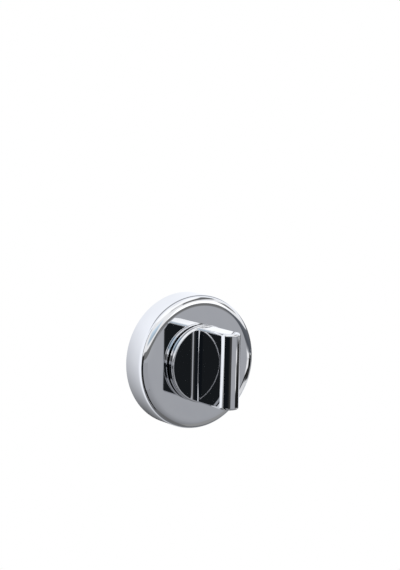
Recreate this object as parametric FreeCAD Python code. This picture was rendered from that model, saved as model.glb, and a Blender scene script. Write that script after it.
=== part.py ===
import FreeCAD, Part
import math
import os

# Bathroom thumb turn on a round rose, in millimetres.
# The turning axis is Y. The grip faces -Y and stands upright, the door is on the +Y side.
# The origin is the centre of the rose on the door's face, and every height is measured out from that face.

# Rose cover
ROSE_D = 52.0
ROSE_T = 12.0
ROSE_RIM_R = 3.2
ROSE_LEAD_R = 10.5
ROSE_LEAD_ANGLE = 6.0
COVER_WALL = 1.2

# Base disc and grip of the turn
DISC_D = 30.0
DISC_T = 2.5
DISC_EDGE_R = 0.7
DISC_BACK_CHAMFER = 0.15
GRIP_T = 8.0
GRIP_REACH = 19.7
GRIP_ROOT_R = 2.6
GRIP_EDGE_R = 0.9
GRIP_CORNER_INSET = 0.05

# Shank of the turn
SHANK_D = 13.0
SHANK_FLAT_CUT = 1.3
SHANK_RECESS = 1.0
SHANK_TIP_CHAMFER = 0.5
GROOVE_DEPTH = 0.6

# Square spindle and its grub screw
SPINDLE_AF = 5.0
SPINDLE_OUT = 32.5
SPINDLE_CHAMFER = 0.8
SOCKET_DEPTH = 9.5
GRUB_D = 3.0
GRUB_H = 4.0
GRUB_SUNK = 0.5
GRUB_HEX_AF = 1.5
GRUB_HEX_DEPTH = 1.4

# Bearing bush, friction spring, stop plate and circlip
BUSH_WALL = 1.5
BUSH_FLANGE_T = 0.75
BUSH_FLANGE_W = 3.5
SPRING_T = 0.5
SPRING_H = 1.0
SPRING_W = 3.2
PLATE_T = 1.2
PLATE_RING_W = 3.5
LUG_REACH = 4.5
LUG_ANGLE = 24.0
LUG_REST = -45.0
TURN_ANGLE = 90.0
CLIP_T = 1.0
CLIP_W = 1.7
CLIP_GAP_ANGLE = 50.0
CLIP_EAR_D = 2.6
CLIP_EAR_HOLE_D = 1.1

# Sub rose
BASE_T = 2.5
BASE_RIM_W = 2.2
BASE_RIM_H = 7.2
CRUSH_RIB_R = 0.8
CRUSH_RIB_COUNT = 8
HUB_WALL = 3.6
STOP_W = 4.0
STOP_ANGLE = 18.0
STOP_OVER = 0.4
RIB_T = 1.6
RIB_DROP = 1.2
RIB_ANGLES = (0.0, 45.0, 135.0, 180.0, 225.0, 315.0)

# Fixing screws
SCREW_INSET = 5.4
SCREW_D = 3.4
SCREW_NECK_D = 2.6
SCREW_HEAD_D = 6.8
SCREW_OUT = 20.0
SCREW_TIP = 6.0
SCREW_HEAD_RIM = 0.3
SCREW_SLOT_L = 4.0
SCREW_SLOT_W = 0.9
SCREW_SLOT_DEPTH = 1.4
BOSS_D = 10.5
BOSS_H = 5.6

# Clearances
RUN_CLEAR = 0.05
SEAT_CLEAR = 0.05
COVER_CLEAR = 0.4
FREE_CLEAR = 0.3
HUB_CLEAR = 0.6
SCREW_CLEAR = 0.3

ROSE_R = ROSE_D / 2
COVER_IN_R = ROSE_R - COVER_WALL
COVER_IN_H = ROSE_T - COVER_WALL
SHANK_R = SHANK_D / 2
FLAT_X = SHANK_R - SHANK_FLAT_CUT
BUSH_IN_R = SHANK_R + RUN_CLEAR
BUSH_R = BUSH_IN_R + BUSH_WALL
DISC_R = DISC_D / 2
DISC_BACK_H = ROSE_T + BUSH_FLANGE_T + RUN_CLEAR
DISC_FRONT_H = DISC_BACK_H + DISC_T
GRIP_X = GRIP_T / 2
GRIP_Z = math.sqrt(DISC_R ** 2 - GRIP_X ** 2) - GRIP_CORNER_INSET
NOSE_H = DISC_FRONT_H + GRIP_REACH - GRIP_X
SPRING_FRONT_H = COVER_IN_H - SEAT_CLEAR
PLATE_FRONT_H = SPRING_FRONT_H - SPRING_H - SEAT_CLEAR
CLIP_FRONT_H = PLATE_FRONT_H - PLATE_T - SEAT_CLEAR
CLIP_BACK_H = CLIP_FRONT_H - CLIP_T
HUB_H = CLIP_BACK_H - HUB_CLEAR
PLATE_R = SHANK_R + SEAT_CLEAR + PLATE_RING_W
LUG_R = PLATE_R + LUG_REACH
BASE_R = COVER_IN_R - COVER_CLEAR
HUB_IN_R = SHANK_R + RUN_CLEAR
HUB_R = HUB_IN_R + HUB_WALL
SPINDLE_HALF = SPINDLE_AF / 2
SOCKET_HALF = SPINDLE_HALF + SEAT_CLEAR
SCREW_R = SCREW_D / 2
NECK_R = SCREW_NECK_D / 2
HEAD_R = SCREW_HEAD_D / 2
SCREW_Z = BASE_R - SCREW_INSET


def V(x, h, z):
    """Point at height h out from the door's face."""
    return FreeCAD.Vector(x, -h, z)


OUT = V(0, 1, 0)
TURN_AXIS = FreeCAD.Vector(0, 1, 0)
ORIGIN = FreeCAD.Vector(0, 0, 0)


def drum(r, h0, h1, x=0.0, z=0.0):
    """Cylinder along the turning direction between two heights."""
    return Part.makeCylinder(r, h1 - h0, V(x, h0, z), OUT)


def block(x0, x1, h0, h1, z0, z1):
    """Box between two corners."""
    return Part.makeBox(x1 - x0, h1 - h0, z1 - z0, V(x0, h1, z0))


def turned(profile, angle=360.0, start=0.0):
    """Revolves a closed outline of (radius, height) points about the turning axis."""
    points = [V(r, h, 0) for r, h in profile]
    solid = Part.Face(Part.makePolygon(points + points[:1])).revolve(ORIGIN, TURN_AXIS, angle)
    solid.rotate(ORIGIN, TURN_AXIS, start)
    return solid


def sector(r0, r1, h0, h1, start, angle):
    """Piece of a ring; angles run clockwise from +X as seen from the front."""
    return turned([(r0, h0), (r1, h0), (r1, h1), (r0, h1)], angle, start)


def rim(shape, r, h):
    """Circular edges of a turned shape at a radius and height."""
    found = []
    for edge in shape.Edges:
        curve = edge.Curve
        if isinstance(curve, Part.Circle) and abs(curve.Radius - r) < 1e-5:
            if abs(curve.Center.y + h) < 1e-5:
                found.append(edge)
    return found


def hexagon(af, x, h, z0, z1):
    """Hexagonal prism along Z."""
    r = af / math.sqrt(3)
    points = []
    for i in range(7):
        a = math.radians(60 * i)
        points.append(V(x + r * math.cos(a), h + r * math.sin(a), z0))
    return Part.Face(Part.makePolygon(points)).extrude(FreeCAD.Vector(0, 0, z1 - z0))


def make_rose_cover():
    """Drawn cap with a hole for the bush; its buffed face falls away slowly into the rounded rim."""
    lean = math.radians(ROSE_LEAD_ANGLE)
    lead_r = ROSE_R - ROSE_RIM_R * (1 - math.sin(lean))
    lead_h = ROSE_T - ROSE_LEAD_R * (1 - math.cos(lean))
    flat_r = lead_r - ROSE_LEAD_R * math.sin(lean)
    rim_h = lead_h - ROSE_RIM_R * math.cos(lean)
    lead_mid, rim_mid = lean / 2, (lean + math.pi / 2) / 2
    lead_mid_h = ROSE_T - ROSE_LEAD_R * (1 - math.cos(lead_mid))
    lead_middle = V(flat_r + ROSE_LEAD_R * math.sin(lead_mid), lead_mid_h, 0)
    rim_middle = V(ROSE_R - ROSE_RIM_R * (1 - math.sin(rim_mid)), rim_h + ROSE_RIM_R * math.cos(rim_mid), 0)
    wall_top, lead_end, flat_end = V(ROSE_R, rim_h, 0), V(lead_r, lead_h, 0), V(flat_r, ROSE_T, 0)
    edges = [Part.makeLine(ORIGIN, V(ROSE_R, 0, 0)), Part.makeLine(V(ROSE_R, 0, 0), wall_top),
             Part.Arc(wall_top, rim_middle, lead_end).toShape(),
             Part.Arc(lead_end, lead_middle, flat_end).toShape(),
             Part.makeLine(flat_end, V(0, ROSE_T, 0)), Part.makeLine(V(0, ROSE_T, 0), ORIGIN)]
    outside = Part.Face(Part.Wire(edges)).revolve(ORIGIN, TURN_AXIS, 360)
    inside = drum(COVER_IN_R, 0, COVER_IN_H)
    inside = inside.makeChamfer(ROSE_RIM_R - COVER_WALL, rim(inside, COVER_IN_R, COVER_IN_H))
    hole = drum(BUSH_R + SEAT_CLEAR, 0, ROSE_T)
    return outside.cut(inside).cut(hole)


def make_bush():
    """Nylon bush: barrel in the cover's hole, thin flange under the disc."""
    flange_r = BUSH_R + BUSH_FLANGE_W
    flange_h = ROSE_T + BUSH_FLANGE_T
    return turned([(BUSH_IN_R, COVER_IN_H), (BUSH_R, COVER_IN_H), (BUSH_R, ROSE_T),
                   (flange_r, ROSE_T), (flange_r, flange_h), (BUSH_IN_R, flange_h)])


def make_grip():
    """Upright plate with a full bull nose and softened ends."""
    foot = DISC_BACK_H + DISC_T / 2
    left, right = V(-GRIP_X, foot, -GRIP_Z), V(GRIP_X, foot, -GRIP_Z)
    nose_left, nose_right = V(-GRIP_X, NOSE_H, -GRIP_Z), V(GRIP_X, NOSE_H, -GRIP_Z)
    nose = Part.Arc(nose_right, V(0, NOSE_H + GRIP_X, -GRIP_Z), nose_left).toShape()
    sides = [Part.makeLine(left, right), Part.makeLine(right, nose_right), nose,
             Part.makeLine(nose_left, left)]
    plate = Part.Face(Part.Wire(sides)).extrude(FreeCAD.Vector(0, 0, 2 * GRIP_Z))
    ends = []
    for edge in plate.Edges:
        box = edge.BoundBox
        if box.ZLength < 1e-6 and -box.YMin > foot + 1e-6:
            ends.append(edge)
    return plate.makeFillet(GRIP_EDGE_R, ends)


def make_root(side):
    """Hollow root fillet between the disc's face and one side of the grip, run out at the disc's edge."""
    inner = GRIP_X - GRIP_EDGE_R
    toe = GRIP_X + GRIP_ROOT_R
    top = DISC_FRONT_H + GRIP_ROOT_R
    sunk = DISC_FRONT_H - DISC_EDGE_R / 2
    bend = GRIP_ROOT_R * (1 - math.sqrt(0.5))
    points = [V(side * inner, sunk, 0), V(side * toe, sunk, 0), V(side * toe, DISC_FRONT_H, 0),
              V(side * (GRIP_X + bend), DISC_FRONT_H + bend, 0), V(side * GRIP_X, top, 0),
              V(side * inner, top, 0)]
    hollow = Part.Arc(points[2], points[3], points[4]).toShape()
    sides = [Part.makeLine(points[0], points[1]), Part.makeLine(points[1], points[2]), hollow,
             Part.makeLine(points[4], points[5]), Part.makeLine(points[5], points[0])]
    strip = Part.Face(Part.Wire(sides)).extrude(FreeCAD.Vector(0, 0, 2 * DISC_R))
    strip.translate(FreeCAD.Vector(0, 0, -DISC_R))
    return strip.common(drum(DISC_R - DISC_EDGE_R, sunk, top))


def make_shank():
    """Round shank with flats for the stop plate, a circlip groove, a square socket and a grub screw hole."""
    shank = drum(SHANK_R, SHANK_RECESS, DISC_BACK_H + DISC_T / 2)
    shank = shank.makeChamfer(SHANK_TIP_CHAMFER, rim(shank, SHANK_R, SHANK_RECESS))
    for side in (-1, 1):
        low, high = sorted((side * FLAT_X, side * 2 * SHANK_R))
        shank = shank.cut(block(low, high, 0, PLATE_FRONT_H, -SHANK_R, SHANK_R))
    groove_back, groove_front = CLIP_BACK_H - SEAT_CLEAR, CLIP_FRONT_H + SEAT_CLEAR
    groove = sector(SHANK_R - GROOVE_DEPTH, 2 * SHANK_R, groove_back, groove_front, 0, 360)
    socket = block(-SOCKET_HALF, SOCKET_HALF, 0, SHANK_RECESS + SOCKET_DEPTH, -SOCKET_HALF, SOCKET_HALF)
    grub_hole = Part.makeCylinder(GRUB_D / 2 + SEAT_CLEAR, SHANK_R, V(0, GRUB_H, 0))
    return shank.cut(groove).cut(socket).cut(grub_hole)


def make_thumb_turn():
    """Grip, disc and shank in one casting."""
    disc = drum(DISC_R, DISC_BACK_H, DISC_FRONT_H)
    disc = disc.makeFillet(DISC_EDGE_R, rim(disc, DISC_R, DISC_FRONT_H))
    disc = disc.makeChamfer(DISC_BACK_CHAMFER, rim(disc, DISC_R, DISC_BACK_H))
    turn = disc.fuse([make_grip(), make_root(-1), make_root(1), make_shank()])
    return turn.removeSplitter()


def make_spring():
    """Conical spring washer, its outer edge against the cover."""
    r0 = SHANK_R + FREE_CLEAR
    r1 = r0 + SPRING_W
    back = SPRING_FRONT_H - SPRING_H
    return turned([(r0, back), (r1, SPRING_FRONT_H - SPRING_T), (r1, SPRING_FRONT_H), (r0, back + SPRING_T)])


def make_stop_plate():
    """Washer keyed to the shank's flats, with one lug."""
    back = PLATE_FRONT_H - PLATE_T
    ring = drum(PLATE_R, back, PLATE_FRONT_H)
    lug = sector(PLATE_R - PLATE_RING_W / 2, LUG_R, back, PLATE_FRONT_H, LUG_REST - LUG_ANGLE / 2, LUG_ANGLE)
    flat = FLAT_X + SEAT_CLEAR
    hole = drum(SHANK_R + SEAT_CLEAR, back, PLATE_FRONT_H).common(
        block(-flat, flat, back, PLATE_FRONT_H, -2 * SHANK_R, 2 * SHANK_R))
    return ring.fuse(lug).cut(hole).removeSplitter()


def make_circlip():
    """Open retaining ring with two pierced ears."""
    r0 = SHANK_R - GROOVE_DEPTH + SEAT_CLEAR
    r1 = r0 + CLIP_W
    ear_r = CLIP_EAR_D / 2
    start = CLIP_GAP_ANGLE / 2
    ring = sector(r0, r1, CLIP_BACK_H, CLIP_FRONT_H, start, 360 - CLIP_GAP_ANGLE)
    reach = SHANK_R + FREE_CLEAR + ear_r
    holes = []
    for angle in (start, -start):
        a = math.radians(angle)
        x, z = reach * math.cos(a), reach * math.sin(a)
        ring = ring.fuse(drum(ear_r, CLIP_BACK_H, CLIP_FRONT_H, x, z))
        holes.append(drum(CLIP_EAR_HOLE_D / 2, CLIP_BACK_H, CLIP_FRONT_H, x, z))
    return ring.cut(holes).removeSplitter()


def make_spindle():
    """Square bar from the shank's socket back through the door, with a chamfered end."""
    front = SHANK_RECESS + SOCKET_DEPTH - FREE_CLEAR
    bar = block(-SPINDLE_HALF, SPINDLE_HALF, -SPINDLE_OUT, front, -SPINDLE_HALF, SPINDLE_HALF)
    ends = [edge for edge in bar.Edges if edge.BoundBox.YMin > SPINDLE_OUT - 1e-6]
    return bar.makeChamfer(SPINDLE_CHAMFER, ends)


def make_grub_screw():
    """Socket screw through the shank's wall, bearing on the spindle."""
    tip = SPINDLE_HALF + SEAT_CLEAR
    head = SHANK_R - GRUB_SUNK
    screw = Part.makeCylinder(GRUB_D / 2, head - tip, V(0, GRUB_H, tip))
    return screw.cut(hexagon(GRUB_HEX_AF, 0, GRUB_H, head - GRUB_HEX_DEPTH, head))


def screw_places():
    """Centres of the two fixing screws, above and below the shank."""
    return [(0.0, side * SCREW_Z) for side in (1, -1)]


def screw_head(r, head_r, back, front, drop=0.0):
    """Countersunk head over a round neck; lowered by a drop it gives the seat for that head."""
    cone_top = BOSS_H - SCREW_HEAD_RIM - drop
    neck_top, head_top = cone_top - (HEAD_R - r), cone_top - (HEAD_R - head_r)
    return turned([(0, back), (r, back), (r, neck_top), (head_r, head_top), (head_r, front), (0, front)])


def make_sub_rose():
    """Moulded base: flange, rim that grips the cover, shank bearing, bosses, ribs and stop shoulders."""
    rim_in_r = BASE_R - BASE_RIM_W
    rib_h = HUB_H - RIB_DROP
    base = drum(BASE_R, 0, BASE_T)
    parts = [sector(rim_in_r, BASE_R, 0, BASE_RIM_H, 0, 360), drum(HUB_R, 0, HUB_H)]
    for i in range(CRUSH_RIB_COUNT):
        reach = COVER_IN_R - SEAT_CLEAR - CRUSH_RIB_R
        a = math.radians(360 / CRUSH_RIB_COUNT * (i + 0.5))
        parts.append(drum(CRUSH_RIB_R, BASE_T, BASE_RIM_H, reach * math.cos(a), reach * math.sin(a)))
    for angle in RIB_ANGLES:
        rib = block(HUB_IN_R + HUB_WALL / 2, rim_in_r + BASE_RIM_W / 2, 0, rib_h, -RIB_T / 2, RIB_T / 2)
        rib.rotate(ORIGIN, TURN_AXIS, angle)
        parts.append(rib)
    stop_r = PLATE_R + FREE_CLEAR
    stop_gap = math.degrees(FREE_CLEAR / stop_r)
    stop_h = PLATE_FRONT_H + STOP_OVER
    first = LUG_REST - LUG_ANGLE / 2 - stop_gap - STOP_ANGLE
    last = LUG_REST + TURN_ANGLE + LUG_ANGLE / 2 + stop_gap
    for start in (first, last):
        parts.append(sector(stop_r, stop_r + STOP_W, 0, stop_h, start, STOP_ANGLE))
    for x, z in screw_places():
        parts.append(drum(BOSS_D / 2, 0, BOSS_H, x, z).common(drum(BASE_R, 0, BOSS_H)))
    solid = base.fuse(parts).cut(drum(HUB_IN_R, 0, HUB_H))
    for x, z in screw_places():
        hole = screw_head(SCREW_R + SCREW_CLEAR, HEAD_R + SCREW_CLEAR, 0, BASE_RIM_H, SEAT_CLEAR)
        hole.translate(V(x, 0, z))
        solid = solid.cut(hole)
    return solid.removeSplitter()


def make_fixing_screws():
    """Pair of countersunk wood screws with plain necks, their threads starting at the door's face."""
    point_h = SCREW_TIP - SCREW_OUT
    thread = drum(SCREW_R, point_h, 0)
    point = Part.makeCone(SCREW_R, 0, SCREW_TIP, V(0, point_h, 0), TURN_AXIS)
    long, wide = SCREW_SLOT_L / 2, SCREW_SLOT_W / 2
    floor = BOSS_H - SCREW_SLOT_DEPTH
    slots = [block(-long, long, floor, BOSS_H, -wide, wide), block(-wide, wide, floor, BOSS_H, -long, long)]
    head = screw_head(NECK_R, HEAD_R, point_h, BOSS_H)
    screw = head.fuse([thread, point]).cut(slots).removeSplitter()
    screws = []
    for x, z in screw_places():
        copy = screw.copy()
        copy.translate(V(x, 0, z))
        screws.append(copy)
    return Part.makeCompound(screws)


os.makedirs("parts", exist_ok=True)
make_rose_cover().exportStep("parts/rose_cover.step")
make_sub_rose().exportStep("parts/sub_rose.step")
make_bush().exportStep("parts/bearing_bush.step")
make_thumb_turn().exportStep("parts/thumb_turn.step")
make_spring().exportStep("parts/friction_spring.step")
make_stop_plate().exportStep("parts/stop_plate.step")
make_circlip().exportStep("parts/circlip.step")
make_spindle().exportStep("parts/spindle.step")
make_grub_screw().exportStep("parts/grub_screw.step")
make_fixing_screws().exportStep("parts/fixing_screws.step")
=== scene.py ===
import math

import bmesh
import bpy
from mathutils import Matrix, Vector


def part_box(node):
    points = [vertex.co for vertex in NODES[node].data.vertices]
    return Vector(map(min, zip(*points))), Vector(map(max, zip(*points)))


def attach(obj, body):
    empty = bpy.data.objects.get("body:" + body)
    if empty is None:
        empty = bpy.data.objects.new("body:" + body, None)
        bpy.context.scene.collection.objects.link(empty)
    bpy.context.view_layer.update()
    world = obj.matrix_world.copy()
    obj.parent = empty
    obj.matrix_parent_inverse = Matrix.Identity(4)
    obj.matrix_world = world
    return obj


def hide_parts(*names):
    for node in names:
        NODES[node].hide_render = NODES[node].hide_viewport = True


# Bathroom thumb turn: looks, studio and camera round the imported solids, in metres.
# The turning axis is Y, the grip faces -Y and Z is up. Directions are given in degrees:
# azimuth from straight ahead of the rose to the right, elevation upwards.
# Levels of light are 8-bit display levels, as the polished chrome shows them.

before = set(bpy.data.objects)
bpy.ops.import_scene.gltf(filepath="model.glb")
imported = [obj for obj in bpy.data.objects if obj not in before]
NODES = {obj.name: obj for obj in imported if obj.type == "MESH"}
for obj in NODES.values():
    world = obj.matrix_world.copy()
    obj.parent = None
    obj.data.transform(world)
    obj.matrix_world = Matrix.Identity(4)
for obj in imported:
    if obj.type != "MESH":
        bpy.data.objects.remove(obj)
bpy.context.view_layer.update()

ROSE_LOW, ROSE_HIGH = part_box("rose_cover")
ROSE_R = ROSE_HIGH.x
ROSE_FACE_Y = ROSE_LOW.y
RIM_R = 0.0032
SCREWS_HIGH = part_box("fixing_screws")[1]
SCREW_HEAD_R = 0.0034

# Photograph: image size and where the centre of the rose's face sits in it
IMAGE_W, IMAGE_H = 400, 570
FACE_PX_X, FACE_PX_Y = 200.39, 362.92

# Camera: direction, distance and roll that fit the photograph's outline
CAMERA_AZIMUTH = -34.56
CAMERA_ELEVATION = 10.22
CAMERA_ROLL = 1.34
CAMERA_DISTANCE = 0.6
FOCAL_PX = 1566.0
SENSOR_MM = 36.0

# Ranges of values: a whole level up or down, and where most of a noise lies
RISING = (0, 1)
FALLING = (1, 0)
WHOLE = (0, 1)
NOISE_SPAN = (0.3, 0.7)
NOISE_ROUGHNESS = 0.55

# Polished chrome, with scales in waves per metre as for all materials
CHROME = (0.80, 0.81, 0.83)
CHROME_SHADE = (0.77, 0.78, 0.81)
CHROME_REFLECTANCE = 0.80
HAZE_SCALE = 130
HAZE_ROUGHNESS = (0.007, 0.016)
HAIRLINE_SCALE = 5200
HAIRLINE_STRETCH = (1, 6, 0.25)
HAIRLINE_ROUGHNESS = (0, 0.006)
WAVE_SCALE = 95
WAVE_DEPTH = 4e-6

# Painted shade: a dark line round the edge of the turn's disc, standing in for the shade in a fine
# groove there
PAINTED_LINE_SHADE = (0.16, 0.16, 0.18)
PAINTED_LINE_W = 0.0004
DISC_PAINTED_LINE_Y = -0.0141

# Moulded plastic
FLOW_SCALE = 160
FLOW_STRETCH = (1, 3, 1)
FLOW_ROUGHNESS = 0.07
GRAIN_DEPTH = 1.2e-5

# Steel
PATCH_SCALE = 420
PATCH_ROUGHNESS = 0.06
STREAK_SCALE = 5000
STREAK_ROUGHNESS = (0, 0.12)
STREAK_DEPTH = 6e-6

# Thread of the fixing screws
THREAD_PITCH = 0.0014
THREAD_CREST_R = 0.0017
THREAD_ROOT_R = 0.0012
THREAD_SHARPNESS = 3.2
THREAD_RUN_IN = 0.0016
POINT_LENGTH = 0.006
THREAD_SIDES = 36
ROWS_PER_TURN = 14

# Room
SOFT_LIGHT = 0.55
FLOOR_DROP = 1.05
FLOOR_SIZE = 8.0
FLOOR_COLOUR = (0.86, 0.86, 0.87)
FLOOR_ROUGHNESS = 0.8

# Tints of the reflector cards
WHITE = (1, 1, 1)
GREY_TINT = (0.965, 0.985, 1.04)
BOARD_TINT = (0.97, 0.99, 1.035)
WINDOW_TINT = (0.74, 0.91, 1.05)
SHELF_TINT = (0.92, 1.0, 1.14)
SHADE_TINT = (0.88, 1.0, 1.12)
SLOT_TINT = (0.80, 1.0, 1.30)

# Reflector cards: patches of a sphere round the rose, each a layer nearer than the one before
CARD_RADIUS = 0.98
CARD_LAYER = 0.004
CARD_COLUMNS = 24
CARD_ROWS = 12

# A card's name, azimuths, elevations, levels at its lower and upper edge, and the width of its
# soft edge in degrees. A tint and a rise to the right can follow. Above 255 is overexposed.
CARDS = (
    ("top_softbox", (-170, 100), (50, 84), (254, 254), 6),
    ("back_softbox", (100, 215), (-20, 60), (252, 254), 8),
    ("left_softbox", (-150, -90), (-66, 50), (235, 252), 4),
    ("right_softbox", (94, 152), (-60, 40), (246, 252), 5),
    ("grey_table", (-72, 62), (-74, 1), (114, 166), 3, GREY_TINT),
    ("dark_skirting", (-72, 26), (-2, 10), (106, 112), 2),
    ("right_skirting", (22, 44), (-6.5, 9.5), (106, 112), 3.5),
    ("front_light", (14, 56), (8.6, 28), (270, 270), 1.2),
    ("pale_window", (-60, -8), (14, 40), (165, 235), 6, WINDOW_TINT),
    ("lamp_edge", (-10, 24), (44, 58), (185, 185), 3),
    ("lamp_frame", (17, 90), (38, 59), (104, 104), 4),
    ("dark_ground", (-180, 180), (-95, -64), (96, 104), 3),
    ("left_flag", (-93, -60), (-72, 8), (10, 40), 4),
    ("left_flag_top", (-96, -84), (4, 46), (50, 120), 3),
    ("low_ground", (40, 125), (-70, -19), (135, 145), 4),
    ("right_shade", (44, 128), (-24, -8), (46, 52), 2),
    ("dark_shelf", (38.3, 128), (-8.9, 5), (76, 104), 1.5, SHELF_TINT),
    ("right_low_pale", (41, 70), (-18.5, -12.6), (220, 205), 0.8, WHITE, -0.2),
    ("right_outer_pale", (65, 103), (-30, -17.6), (215, 205), 0.8, WHITE, -0.03),
    ("right_flag", (38.6, 92), (-13.4, -9.9), (22, 30), 0.7),
    ("right_pale", (38.3, 54), (-10, -8.6), (225, 235), 0.5),
    ("right_dark", (52, 128), (-10.8, -8), (48, 60), 0.8),
    ("right_wedge", (37, 46), (-11.6, -9.6), (228, 235), 0.5),
    ("grey_stand", (56, 80), (14, 30), (122, 130), 3),
    ("low_shade", (-41, -12), (-30, -12), (28, 28), 3, SHADE_TINT),
    ("dim_stand", (-32, -10), (-14.5, -6), (54, 54), 2),
    ("camera_stand", (-41, -28), (-16.5, -4.8), (28, 28), 2, SHADE_TINT),
    ("black_slot", (-92, -39), (-13.4, -6.8), (20, 20), 1, SLOT_TINT),
)

# Board in the plane of the door
BOARD_R = 0.30
BOARD_GAP = 0.00002
BOARD_SIDES = 96

# Its light next to the rose: levels at a lower and an upper height
NEAR_LEVELS = (85, 236)
NEAR_HEIGHTS = (-0.0205, 0.017)

# Its zones further out: levels, heights, and where the zone begins and is full off the rose's edge
BOARD_ZONES = (
    ((196, 246), (-0.025, 0.020), (0, 0.008)),
    ((105, 243), (-0.041, -0.029), (0.010, 0.014)),
)

# Its dim patch above the rose: level, heights, and distances from the axis of its two edges
ABOVE_LEVEL = 150
ABOVE_HEIGHTS = (0.026, 0.031)
ABOVE_INNER = (0.0345, 0.037)
ABOVE_OUTER = (0.048, 0.054)

# Its dark patch to the right of the rose: level, heights of its top and foot, and its inner edge
BESIDE_LEVEL = 90
BESIDE_TOP = (0.018, 0.026)
BESIDE_FOOT = (-0.020, -0.012)
BESIDE_INNER = (0.030, 0.036)

# Strip close to the left of the rim: angles down round the rim, tilts from its face to its wall
STRIP_REACH = 0.004
STRIP_ANGLES = (-4.0, 20.0)
STRIP_TILTS = (18.0, 49.0)
STRIP_ROWS = 12
STRIP_COLUMNS = 6
STRIP_LEVEL = 153

# Lamps: name, azimuth, elevation, power in watts and width
LAMP_DISTANCE = 0.9 * CARD_RADIUS
LAMPS = (
    ("key", -50, 45, 9, 0.6),
    ("fill", 150, 25, 5, 0.8),
)


def direction(azimuth, elevation):
    """Unit vector of a direction in the rose's frame."""
    a, e = math.radians(azimuth), math.radians(elevation)
    return Vector((math.sin(a) * math.cos(e), -math.cos(a) * math.cos(e), math.sin(e)))


def part_way(span, share):
    """Value at a share of the way from the start of a span to its end."""
    return span[0] + (span[1] - span[0]) * share


def linear(level):
    """Linear light of an 8-bit display level, by the sRGB curve."""
    c = level / 255
    return c / 12.92 if c <= 0.04045 else ((c + 0.055) / 1.055) ** 2.4


def seen_in_chrome(level):
    """Strength of a card that shows as an 8-bit level in the polished chrome."""
    return linear(level) / CHROME_REFLECTANCE


def camera_place():
    """Where the photograph's camera stands."""
    back = direction(CAMERA_AZIMUTH, CAMERA_ELEVATION)
    return Vector((0, ROSE_FACE_Y, 0)) + back * CAMERA_DISTANCE


# Objects and meshes

def place_object(name, data):
    """New object in the scene."""
    made = bpy.data.objects.new(name, data)
    bpy.context.scene.collection.objects.link(made)
    return made


def stage_object(name, data, mat):
    """New object of one material that isn't part of the lock."""
    data.materials.append(mat)
    made = place_object(name, data)
    return made


def mesh_data(mesh, name):
    """Mesh data of a finished bmesh, which is freed."""
    data = bpy.data.meshes.new(name)
    mesh.to_mesh(data)
    mesh.free()
    return data


def grid_data(name, columns, rows, place):
    """Mesh data of a grid with a unit square of coordinates on it.

    The function place gives the point at a share of the way across and a share of the way up.
    """
    wide = columns + 1
    shares = [(i / columns, j / rows) for j in range(rows + 1) for i in range(wide)]
    corners = [j * wide + i for j in range(rows) for i in range(columns)]
    quads = [(c, c + 1, c + 1 + wide, c + wide) for c in corners]
    data = bpy.data.meshes.new(name)
    data.from_pydata([place(across, up) for across, up in shares], [], quads)
    layer = data.uv_layers.new(name="card")
    for loop in data.loops:
        layer.data[loop.index].uv = shares[loop.vertex_index]
    return data


# Node helpers

def new_material(name):
    """Material with a Principled shader; returns the material, its node tree and the shader."""
    mat = bpy.data.materials.new(name)
    mat.use_nodes = True
    tree = mat.node_tree
    return mat, tree, tree.nodes["Principled BSDF"]


def set_inputs(tree, node, inputs):
    """Puts numbers, colours or outputs of other nodes on the inputs of a node."""
    for key, value in inputs.items():
        socket = node.inputs[key]
        if isinstance(value, bpy.types.NodeSocket):
            tree.links.new(value, socket)
        elif socket.type == "RGBA":
            socket.default_value = (*value, 1)
        else:
            socket.default_value = value


def add_node(tree, kind, inputs, **settings):
    """New node with its properties and then its inputs set."""
    made = tree.nodes.new(kind)
    for key, value in settings.items():
        setattr(made, key, value)
    set_inputs(tree, made, inputs)
    return made


def show(tree, shader):
    """Makes the output of a shader the look of the material."""
    set_inputs(tree, tree.nodes["Material Output"], {"Surface": shader})


def mix_shaders(tree, level, first, second):
    """Shader between two shaders by a level."""
    inputs = {"Fac": level, 1: first, 2: second}
    return add_node(tree, "ShaderNodeMixShader", inputs).outputs["Shader"]


def object_place(tree):
    """Object coordinates, the same as the rose's frame at rest."""
    return add_node(tree, "ShaderNodeTexCoord", {}).outputs["Object"]


def mapped(tree, place, **changes):
    """Coordinates with their Location or Scale changed."""
    return add_node(tree, "ShaderNodeMapping", {"Vector": place, **changes}).outputs["Vector"]


def axes_of(tree, place):
    """The coordinates of a place one by one, as X, Y and Z."""
    return add_node(tree, "ShaderNodeSeparateXYZ", {"Vector": place}).outputs


def noise(tree, place, scale, detail):
    """Noise level between 0 and 1; scale is in waves per metre."""
    inputs = {"Vector": place, "Scale": scale, "Detail": detail, "Roughness": NOISE_ROUGHNESS}
    return add_node(tree, "ShaderNodeTexNoise", inputs).outputs["Fac"]


def between(tree, level, values, span=NOISE_SPAN, **settings):
    """Goes from the first of two values to the second while a level crosses a span."""
    inputs = {"Value": level, "From Min": span[0], "From Max": span[1],
              "To Min": values[0], "To Max": values[1]}
    return add_node(tree, "ShaderNodeMapRange", inputs, **settings).outputs["Result"]


def mix(tree, kind, level, first, second):
    """Number (FLOAT) or colour (RGBA) between two others by a level."""
    inputs = {"Factor": level, "A": first, "B": second}
    return add_node(tree, "ShaderNodeMix", inputs, data_type=kind).outputs["Result"]


def maths(tree, operation, *values):
    """Arithmetic on levels or numbers."""
    made = add_node(tree, "ShaderNodeMath", dict(enumerate(values)), operation=operation)
    return made.outputs["Value"]


def product(tree, result, *levels):
    """Levels multiplied together."""
    for level in levels:
        result = maths(tree, "MULTIPLY", result, level)
    return result


def relief(tree, height, depth):
    """Normal of a relief of a real depth."""
    inputs = {"Strength": 1, "Distance": depth, "Height": height}
    return add_node(tree, "ShaderNodeBump", inputs).outputs["Normal"]


# Materials

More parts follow.
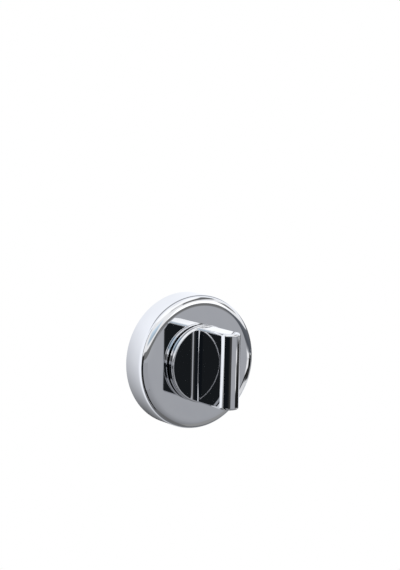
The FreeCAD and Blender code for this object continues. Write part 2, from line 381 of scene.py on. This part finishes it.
def polished_chrome(name, seed, painted_line_y=None):
    """Mirror chrome with a faint polishing waviness and patches of finer and coarser gloss.

    A fine dark line of painted shade, standing in for the shade in a groove, can run round it at a
    place along the turning axis.
    """
    mat, tree, shader = new_material(name)
    rest_place = object_place(tree)
    place = mapped(tree, rest_place, Location=seed)
    haze = noise(tree, place, HAZE_SCALE, detail=5)
    hairlines = noise(tree, mapped(tree, place, Scale=HAIRLINE_STRETCH), HAIRLINE_SCALE, detail=3)
    waves = noise(tree, place, WAVE_SCALE, detail=2)
    colour = mix(tree, "RGBA", between(tree, haze, RISING), CHROME, CHROME_SHADE)
    # Painted shade: a thin dark line round the turning axis, in place of the shade in a groove
    if painted_line_y is not None:
        offset = maths(tree, "SUBTRACT", axes_of(tree, rest_place)["Y"], painted_line_y)
        line = between(tree, maths(tree, "ABSOLUTE", offset), FALLING, (PAINTED_LINE_W / 2, PAINTED_LINE_W))
        colour = mix(tree, "RGBA", line, colour, PAINTED_LINE_SHADE)
    roughness = maths(tree, "ADD", between(tree, haze, HAZE_ROUGHNESS),
                      between(tree, hairlines, HAIRLINE_ROUGHNESS))
    set_inputs(tree, shader, {
        "Base Color": colour,
        "Metallic": 1,
        "Roughness": roughness,
        "Normal": relief(tree, waves, WAVE_DEPTH),
    })
    return mat


def moulded_plastic(name, colour, shade, grain_scale, roughness):
    """Moulded plastic with a fine spark-eroded grain and a faint flow pattern."""
    mat, tree, shader = new_material(name)
    place = object_place(tree)
    flow = noise(tree, mapped(tree, place, Scale=FLOW_STRETCH), FLOW_SCALE, detail=3)
    grain = noise(tree, place, grain_scale, detail=3)
    spread = (roughness - FLOW_ROUGHNESS, roughness + FLOW_ROUGHNESS)
    set_inputs(tree, shader, {
        "Base Color": mix(tree, "RGBA", between(tree, flow, RISING), colour, shade),
        "Roughness": between(tree, flow, spread),
        "Normal": relief(tree, grain, GRAIN_DEPTH),
    })
    return mat


def worked_steel(name, colour, shade, stretch, roughness):
    """Steel with drawing or turning lines along one direction and a patchy tone."""
    mat, tree, shader = new_material(name)
    place = object_place(tree)
    patches = noise(tree, place, PATCH_SCALE, detail=5)
    streaks = noise(tree, mapped(tree, place, Scale=stretch), STREAK_SCALE, detail=3)
    patchy = between(tree, patches, (roughness - PATCH_ROUGHNESS, roughness))
    set_inputs(tree, shader, {
        "Base Color": mix(tree, "RGBA", between(tree, patches, RISING), colour, shade),
        "Metallic": 1,
        "Roughness": maths(tree, "ADD", patchy, between(tree, streaks, STREAK_ROUGHNESS)),
        "Normal": relief(tree, streaks, STREAK_DEPTH),
    })
    return mat


# Pieces

def dress_nodes():
    """Gives every solid its finish; returns the finishes by node."""
    zinc = worked_steel(
        "zinc_plate", colour=(0.60, 0.62, 0.66), shade=(0.52, 0.54, 0.56),
        stretch=(1, 1, 1), roughness=0.30)
    spring = worked_steel(
        "oiled_spring_steel", colour=(0.20, 0.20, 0.22), shade=(0.13, 0.125, 0.125),
        stretch=(1, 0.2, 1), roughness=0.36)
    drawn = worked_steel(
        "bright_drawn_steel", colour=(0.56, 0.57, 0.59), shade=(0.48, 0.48, 0.49),
        stretch=(1, 0.02, 1), roughness=0.28)
    nylon = moulded_plastic(
        "black_nylon", colour=(0.030, 0.030, 0.032), shade=(0.042, 0.042, 0.044),
        grain_scale=3000, roughness=0.52)
    acetal = moulded_plastic(
        "black_acetal", colour=(0.035, 0.035, 0.037), shade=(0.048, 0.048, 0.05),
        grain_scale=2600, roughness=0.42)
    finishes = {
        "rose_cover": polished_chrome("rose_chrome", seed=(0.11, 0.03, 0.07)),
        "thumb_turn": polished_chrome("turn_chrome", seed=(0.42, 0.29, 0.31), painted_line_y=DISC_PAINTED_LINE_Y),
        "sub_rose": nylon,
        "bearing_bush": acetal,
        "friction_spring": spring,
        "circlip": spring,
        "grub_screw": spring,
        "stop_plate": zinc,
        "fixing_screws": zinc,
        "spindle": drawn,
    }
    for name, mat in finishes.items():
        slots = NODES[name].data.materials
        slots.clear()
        slots.append(mat)
    return finishes


def thread_radius(along, angle, length):
    """Radius of the thread at a distance behind the door's face.

    The crest winds round and the point tapers.
    """
    turns = along / THREAD_PITCH - angle / math.tau
    ridge = max(0.0, 1 - THREAD_SHARPNESS * abs(turns - math.floor(turns) - 0.5))
    ridge *= min(1.0, along / THREAD_RUN_IN)
    taper = min(1.0, (length - along) / POINT_LENGTH)
    return taper * (THREAD_ROOT_R + (THREAD_CREST_R - THREAD_ROOT_R) * ridge)


def add_thread(mesh, z, length):
    """Winds a wood screw thread with a point, its axis at a height z."""
    rows = round(length / THREAD_PITCH * ROWS_PER_TURN)
    rings = []
    for row in range(rows):
        along = length * row / rows
        ring = []
        for side in range(THREAD_SIDES):
            angle = math.tau * side / THREAD_SIDES
            r = thread_radius(along, angle, length)
            ring.append(mesh.verts.new((r * math.sin(angle), along, z + r * math.cos(angle))))
        rings.append(ring)
    tip = mesh.verts.new((0, length, z))
    for ring, after in zip(rings, rings[1:]):
        for side in range(THREAD_SIDES):
            following = (side + 1) % THREAD_SIDES
            corners = (ring[side], after[side], after[following], ring[following])
            mesh.faces.new(corners).smooth = True
    last = rings[-1]
    for side in range(THREAD_SIDES):
        mesh.faces.new((last[side], tip, last[(side + 1) % THREAD_SIDES])).smooth = True


def threaded_screws(mat):
    """Fixing screws with their heads from the solids and real threads behind the door's face."""
    mesh = bmesh.new()
    mesh.from_mesh(NODES["fixing_screws"].data)
    behind = [face for face in mesh.faces if face.calc_center_median().y > 0]
    bmesh.ops.delete(mesh, geom=behind, context="FACES")
    screw_z = SCREWS_HIGH.z - SCREW_HEAD_R
    for z in (screw_z, -screw_z):
        add_thread(mesh, z, SCREWS_HIGH.y)
    data = mesh_data(mesh, "threaded_screws")
    data.materials.append(mat)
    piece = place_object("threaded_screws", data)
    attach(piece, "rose")
    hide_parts("fixing_screws")


# Studio

def make_camera():
    """Camera at the photograph's viewing angle.

    The shift puts the rose where the photograph has it.
    """
    data = bpy.data.cameras.new("camera")
    data.sensor_width = SENSOR_MM
    data.lens = FOCAL_PX * SENSOR_MM / IMAGE_H
    data.shift_x = (IMAGE_W / 2 - FACE_PX_X) / IMAGE_H
    data.shift_y = (FACE_PX_Y - IMAGE_H / 2) / IMAGE_H
    camera = place_object("camera", data)
    camera.location = camera_place()
    ahead = -direction(CAMERA_AZIMUTH, CAMERA_ELEVATION)
    roll = Matrix.Rotation(math.radians(CAMERA_ROLL), 3, "Z")
    camera.rotation_euler = (ahead.to_track_quat("-Z", "Y").to_matrix() @ roll).to_euler()
    bpy.context.scene.camera = camera


def background_rays(tree):
    """Level that is 1 for rays that see the background: from the camera, a mirror or glass."""
    path = add_node(tree, "ShaderNodeLightPath", {}).outputs
    seen = maths(tree, "MAXIMUM", path["Is Camera Ray"], path["Is Glossy Ray"])
    return maths(tree, "MAXIMUM", seen, path["Is Transmission Ray"])


def make_world():
    """White for rays that see the background, an even soft light for the rest."""
    world = bpy.data.worlds.new("studio")
    world.use_nodes = True
    tree = world.node_tree
    strength = between(tree, background_rays(tree), (SOFT_LIGHT, 1), WHOLE)
    set_inputs(tree, tree.nodes["Background"], {"Color": WHITE, "Strength": strength})
    bpy.context.scene.world = world


def make_floor():
    """Pale floor a door lock's height below, white where it is the background."""
    mesh = bmesh.new()
    bmesh.ops.create_grid(mesh, x_segments=1, y_segments=1, size=FLOOR_SIZE / 2)
    mat, tree, shader = new_material("pale_floor")
    set_inputs(tree, shader, {"Base Color": FLOOR_COLOUR, "Roughness": FLOOR_ROUGHNESS})
    white = add_node(tree, "ShaderNodeEmission", {"Color": WHITE}).outputs["Emission"]
    show(tree, mix_shaders(tree, background_rays(tree), shader.outputs["BSDF"], white))
    floor = stage_object("floor", mesh_data(mesh, "floor"), mat)
    floor.location.z = -FLOOR_DROP


def glowing(name, tint):
    """Material for a card; returns the material, its node tree and its light of a tint."""
    mat, tree, shader = new_material(name)
    tree.nodes.remove(shader)
    return mat, tree, add_node(tree, "ShaderNodeEmission", {"Color": tint})


def shaded(tree, height, levels, heights):
    """Strength that shows as one level at a lower and another at an upper height in the chrome."""
    low, high = levels
    return between(tree, height, (seen_in_chrome(low), seen_in_chrome(high)), heights)


def reflector(name, data, mat):
    """Adds a card that is seen in reflections only."""
    card = stage_object(name, data, mat)
    card.visible_camera = False
    card.visible_diffuse = False
    card.visible_transmission = False
    card.visible_shadow = False
    card.visible_volume_scatter = False


def soft_edge(tree, level, width):
    """1 inside a card and 0 at its edges, along one of its coordinates."""
    near = maths(tree, "MINIMUM", level, maths(tree, "SUBTRACT", 1, level))
    return between(tree, near, RISING, (0, width), interpolation_type="SMOOTHSTEP")


def make_card(layer, name, azimuths, elevations, levels, soft, tint=WHITE, slope=0.0):
    """Reflector card of the studio; the list of cards says what its values are."""
    radius = CARD_RADIUS - CARD_LAYER * layer
    width = azimuths[1] - azimuths[0]
    height = elevations[1] - elevations[0]

    def card_place(across, up):
        rise = slope * width * across
        return direction(part_way(azimuths, across), part_way(elevations, up) + rise) * radius

    mat, tree, glow = glowing(name, tint)
    axes = axes_of(tree, add_node(tree, "ShaderNodeTexCoord", {}).outputs["UV"])
    set_inputs(tree, glow, {"Strength": shaded(tree, axes["Y"], levels, WHOLE)})
    mask = product(tree, soft_edge(tree, axes["X"], soft / width),
                   soft_edge(tree, axes["Y"], soft / height))
    clear = add_node(tree, "ShaderNodeBsdfTransparent", {}).outputs["BSDF"]
    show(tree, mix_shaders(tree, mask, clear, glow.outputs["Emission"]))
    reflector(name, grid_data(name, CARD_COLUMNS, CARD_ROWS, card_place), mat)


def make_cards():
    """Reflector cards of the studio, from the far ones to the near ones."""
    for layer, card in enumerate(CARDS):
        make_card(layer, *card)


def board_data():
    """Mesh data of a ring in the plane of the door, from the rose's edge outwards."""
    verts = []
    for r in (ROSE_R + BOARD_GAP, BOARD_R):
        for side in range(BOARD_SIDES):
            angle = math.tau * side / BOARD_SIDES
            verts.append((r * math.cos(angle), 0, r * math.sin(angle)))
    quads = []
    for side in range(BOARD_SIDES):
        following = (side + 1) % BOARD_SIDES
        quads.append((side, following, BOARD_SIDES + following, BOARD_SIDES + side))
    data = bpy.data.meshes.new("board")
    data.from_pydata(verts, [], quads)
    return data


def board_light(tree):
    """Strength of the board: the rose's soft shade in zones outwards, and two dimmer patches."""
    place = object_place(tree)
    axes = axes_of(tree, place)
    across, up = axes["X"], axes["Z"]
    away = add_node(tree, "ShaderNodeVectorMath", {0: place}, operation="LENGTH").outputs["Value"]
    light = shaded(tree, up, NEAR_LEVELS, NEAR_HEIGHTS)
    for levels, heights, (begins, full) in BOARD_ZONES:
        zone = between(tree, away, RISING, (ROSE_R + begins, ROSE_R + full))
        light = mix(tree, "FLOAT", zone, light, shaded(tree, up, levels, heights))
    above = product(tree, between(tree, up, RISING, ABOVE_HEIGHTS),
                    between(tree, away, RISING, ABOVE_INNER),
                    between(tree, away, FALLING, ABOVE_OUTER))
    light = mix(tree, "FLOAT", above, light, seen_in_chrome(ABOVE_LEVEL))
    beside = product(tree, between(tree, up, FALLING, BESIDE_TOP),
                     between(tree, up, RISING, BESIDE_FOOT),
                     between(tree, across, RISING, BESIDE_INNER))
    return mix(tree, "FLOAT", beside, light, seen_in_chrome(BESIDE_LEVEL))


def make_board():
    """Board in the plane of the door with the rose's soft shade on it."""
    mat, tree, glow = glowing("shaded_board", BOARD_TINT)
    set_inputs(tree, glow, {"Strength": board_light(tree)})
    show(tree, glow.outputs["Emission"])
    reflector("board", board_data(), mat)


def strip_place(across, up):
    """Point of the bounce strip, on the way of a ray that the rim mirrors to the camera."""
    tilt = math.radians(part_way(STRIP_TILTS, across))
    angle = math.radians(part_way(STRIP_ANGLES, up))
    out = Vector((-math.cos(angle), 0, -math.sin(angle)))
    normal = out * math.sin(tilt) + Vector((0, -math.cos(tilt), 0))
    place = out * (ROSE_R - RIM_R) + Vector((0, ROSE_FACE_Y + RIM_R, 0)) + normal * RIM_R
    return place + (place - camera_place()).normalized().reflect(normal) * STRIP_REACH


def make_bounce_strip():
    """Small grey card close to the left of the rim, which keeps the dark cards out of the rim."""
    mat, tree, glow = glowing("grey_strip", GREY_TINT)
    set_inputs(tree, glow, {"Strength": seen_in_chrome(STRIP_LEVEL)})
    show(tree, glow.outputs["Emission"])
    data = grid_data("bounce_strip", STRIP_COLUMNS, STRIP_ROWS, strip_place)
    reflector("bounce_strip", data, mat)


def make_lamps():
    """Soft key and fill lamps for the plastic and the plain steel."""
    for name, azimuth, elevation, power, size in LAMPS:
        data = bpy.data.lights.new(name, "AREA")
        data.energy = power
        data.size = size
        toward = direction(azimuth, elevation)
        lamp = place_object(name, data)
        lamp.location = toward * LAMP_DISTANCE
        lamp.rotation_euler = toward.to_track_quat("Z", "Y").to_euler()
        lamp.visible_glossy = False


bpy.context.scene.view_settings.view_transform = "Standard"
finishes = dress_nodes()
threaded_screws(finishes["fixing_screws"])
make_camera()
make_world()
make_floor()
make_board()
make_cards()
make_bounce_strip()
make_lamps()
